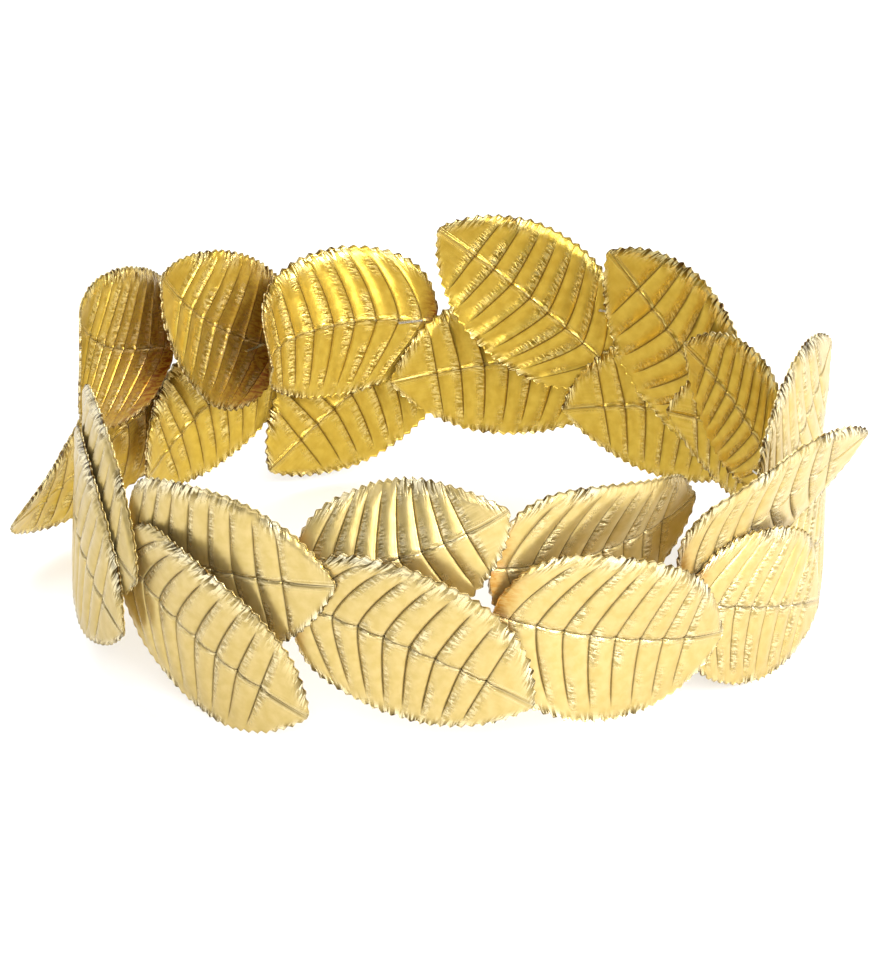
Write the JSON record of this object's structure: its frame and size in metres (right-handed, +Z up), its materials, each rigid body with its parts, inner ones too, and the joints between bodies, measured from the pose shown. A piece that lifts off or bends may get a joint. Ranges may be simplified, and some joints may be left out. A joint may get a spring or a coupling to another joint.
{
  "type": "laurel wreath crown",
  "caption": "Circlet of stamped gold cloth laurel leaves in overlapping pairs, stapled to one another round an open head hollow.",
  "frame": {"origin": "centre of the ring of leaves, on the plane that the lowest leaves rest on", "axes": "+Z up, +Y towards the back of the crown, +X to the wearer's left as the crown is seen from the front"},
  "size_m": [0.2249, 0.1917, 0.0883],
  "materials": {
    "lame_lower": "stamped gold lame cloth with a metallic sheen, deeper gold",
    "lame_upper": "stamped gold lame cloth with a metallic sheen, pale gold",
    "staple_steel": "bright wire"
  },
  "bodies": {
    "root": {"leaf_lower_01": "lame_lower", "leaf_lower_02": "lame_lower", "leaf_lower_03": "lame_lower", "leaf_lower_04": "lame_lower", "leaf_lower_05": "lame_lower", "leaf_lower_06": "lame_lower", "leaf_lower_07": "lame_lower", "leaf_lower_08": "lame_lower", "leaf_lower_09": "lame_lower", "leaf_lower_10": "lame_lower", "leaf_lower_11": "lame_lower", "leaf_lower_12": "lame_lower", "leaf_upper_01": "lame_upper", "leaf_upper_02": "lame_upper", "leaf_upper_03": "lame_upper", "leaf_upper_04": "lame_upper", "leaf_upper_05": "lame_upper", "leaf_upper_06": "lame_upper", "leaf_upper_07": "lame_upper", "leaf_upper_08": "lame_upper", "leaf_upper_09": "lame_upper", "leaf_upper_10": "lame_upper", "leaf_upper_11": "lame_upper", "leaf_upper_12": "lame_upper", "staple_01": "staple_steel", "staple_02": "staple_steel", "staple_03": "staple_steel", "staple_04": "staple_steel", "staple_05": "staple_steel", "staple_06": "staple_steel", "staple_07": "staple_steel", "staple_08": "staple_steel", "staple_09": "staple_steel", "staple_10": "staple_steel", "staple_11": "staple_steel", "staple_12": "staple_steel"}
  },
  "joints": []
}
